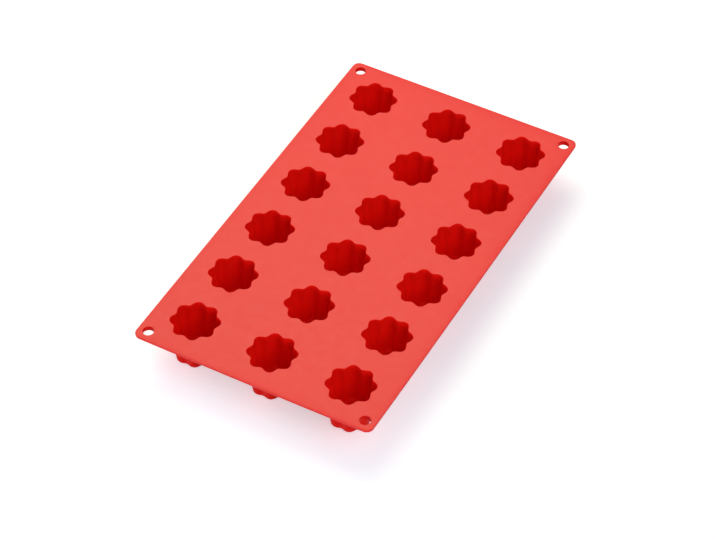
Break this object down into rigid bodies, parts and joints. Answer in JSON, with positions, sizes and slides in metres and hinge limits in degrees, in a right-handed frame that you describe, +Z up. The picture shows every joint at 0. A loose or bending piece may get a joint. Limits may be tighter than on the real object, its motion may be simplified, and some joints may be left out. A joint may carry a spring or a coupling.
{
  "type": "silicone canele mould",
  "caption": "Flexible silicone baking mould: a flat sheet with rows of deep, tapered, fluted cups below it for baking small cakes, and a round hanging hole in each corner.",
  "frame": {"origin": "under the middle of the sheet, on the plane that the cups stand on", "axes": "+Z up out of the cups' mouths, +Y along the long side from the front row to the back row, +X across the columns from left to right"},
  "size_m": [0.175, 0.3, 0.03],
  "materials": {
    "silicone": "satin moulded silicone"
  },
  "bodies": {
    "root": {"sheet": "silicone", "cup_row1_left": "silicone", "cup_row1_middle": "silicone", "cup_row1_right": "silicone", "cup_row2_left": "silicone", "cup_row2_middle": "silicone", "cup_row2_right": "silicone", "cup_row3_left": "silicone", "cup_row3_middle": "silicone", "cup_row3_right": "silicone", "cup_row4_left": "silicone", "cup_row4_middle": "silicone", "cup_row4_right": "silicone", "cup_row5_left": "silicone", "cup_row5_middle": "silicone", "cup_row5_right": "silicone", "cup_row6_left": "silicone", "cup_row6_middle": "silicone", "cup_row6_right": "silicone"}
  },
  "joints": []
}
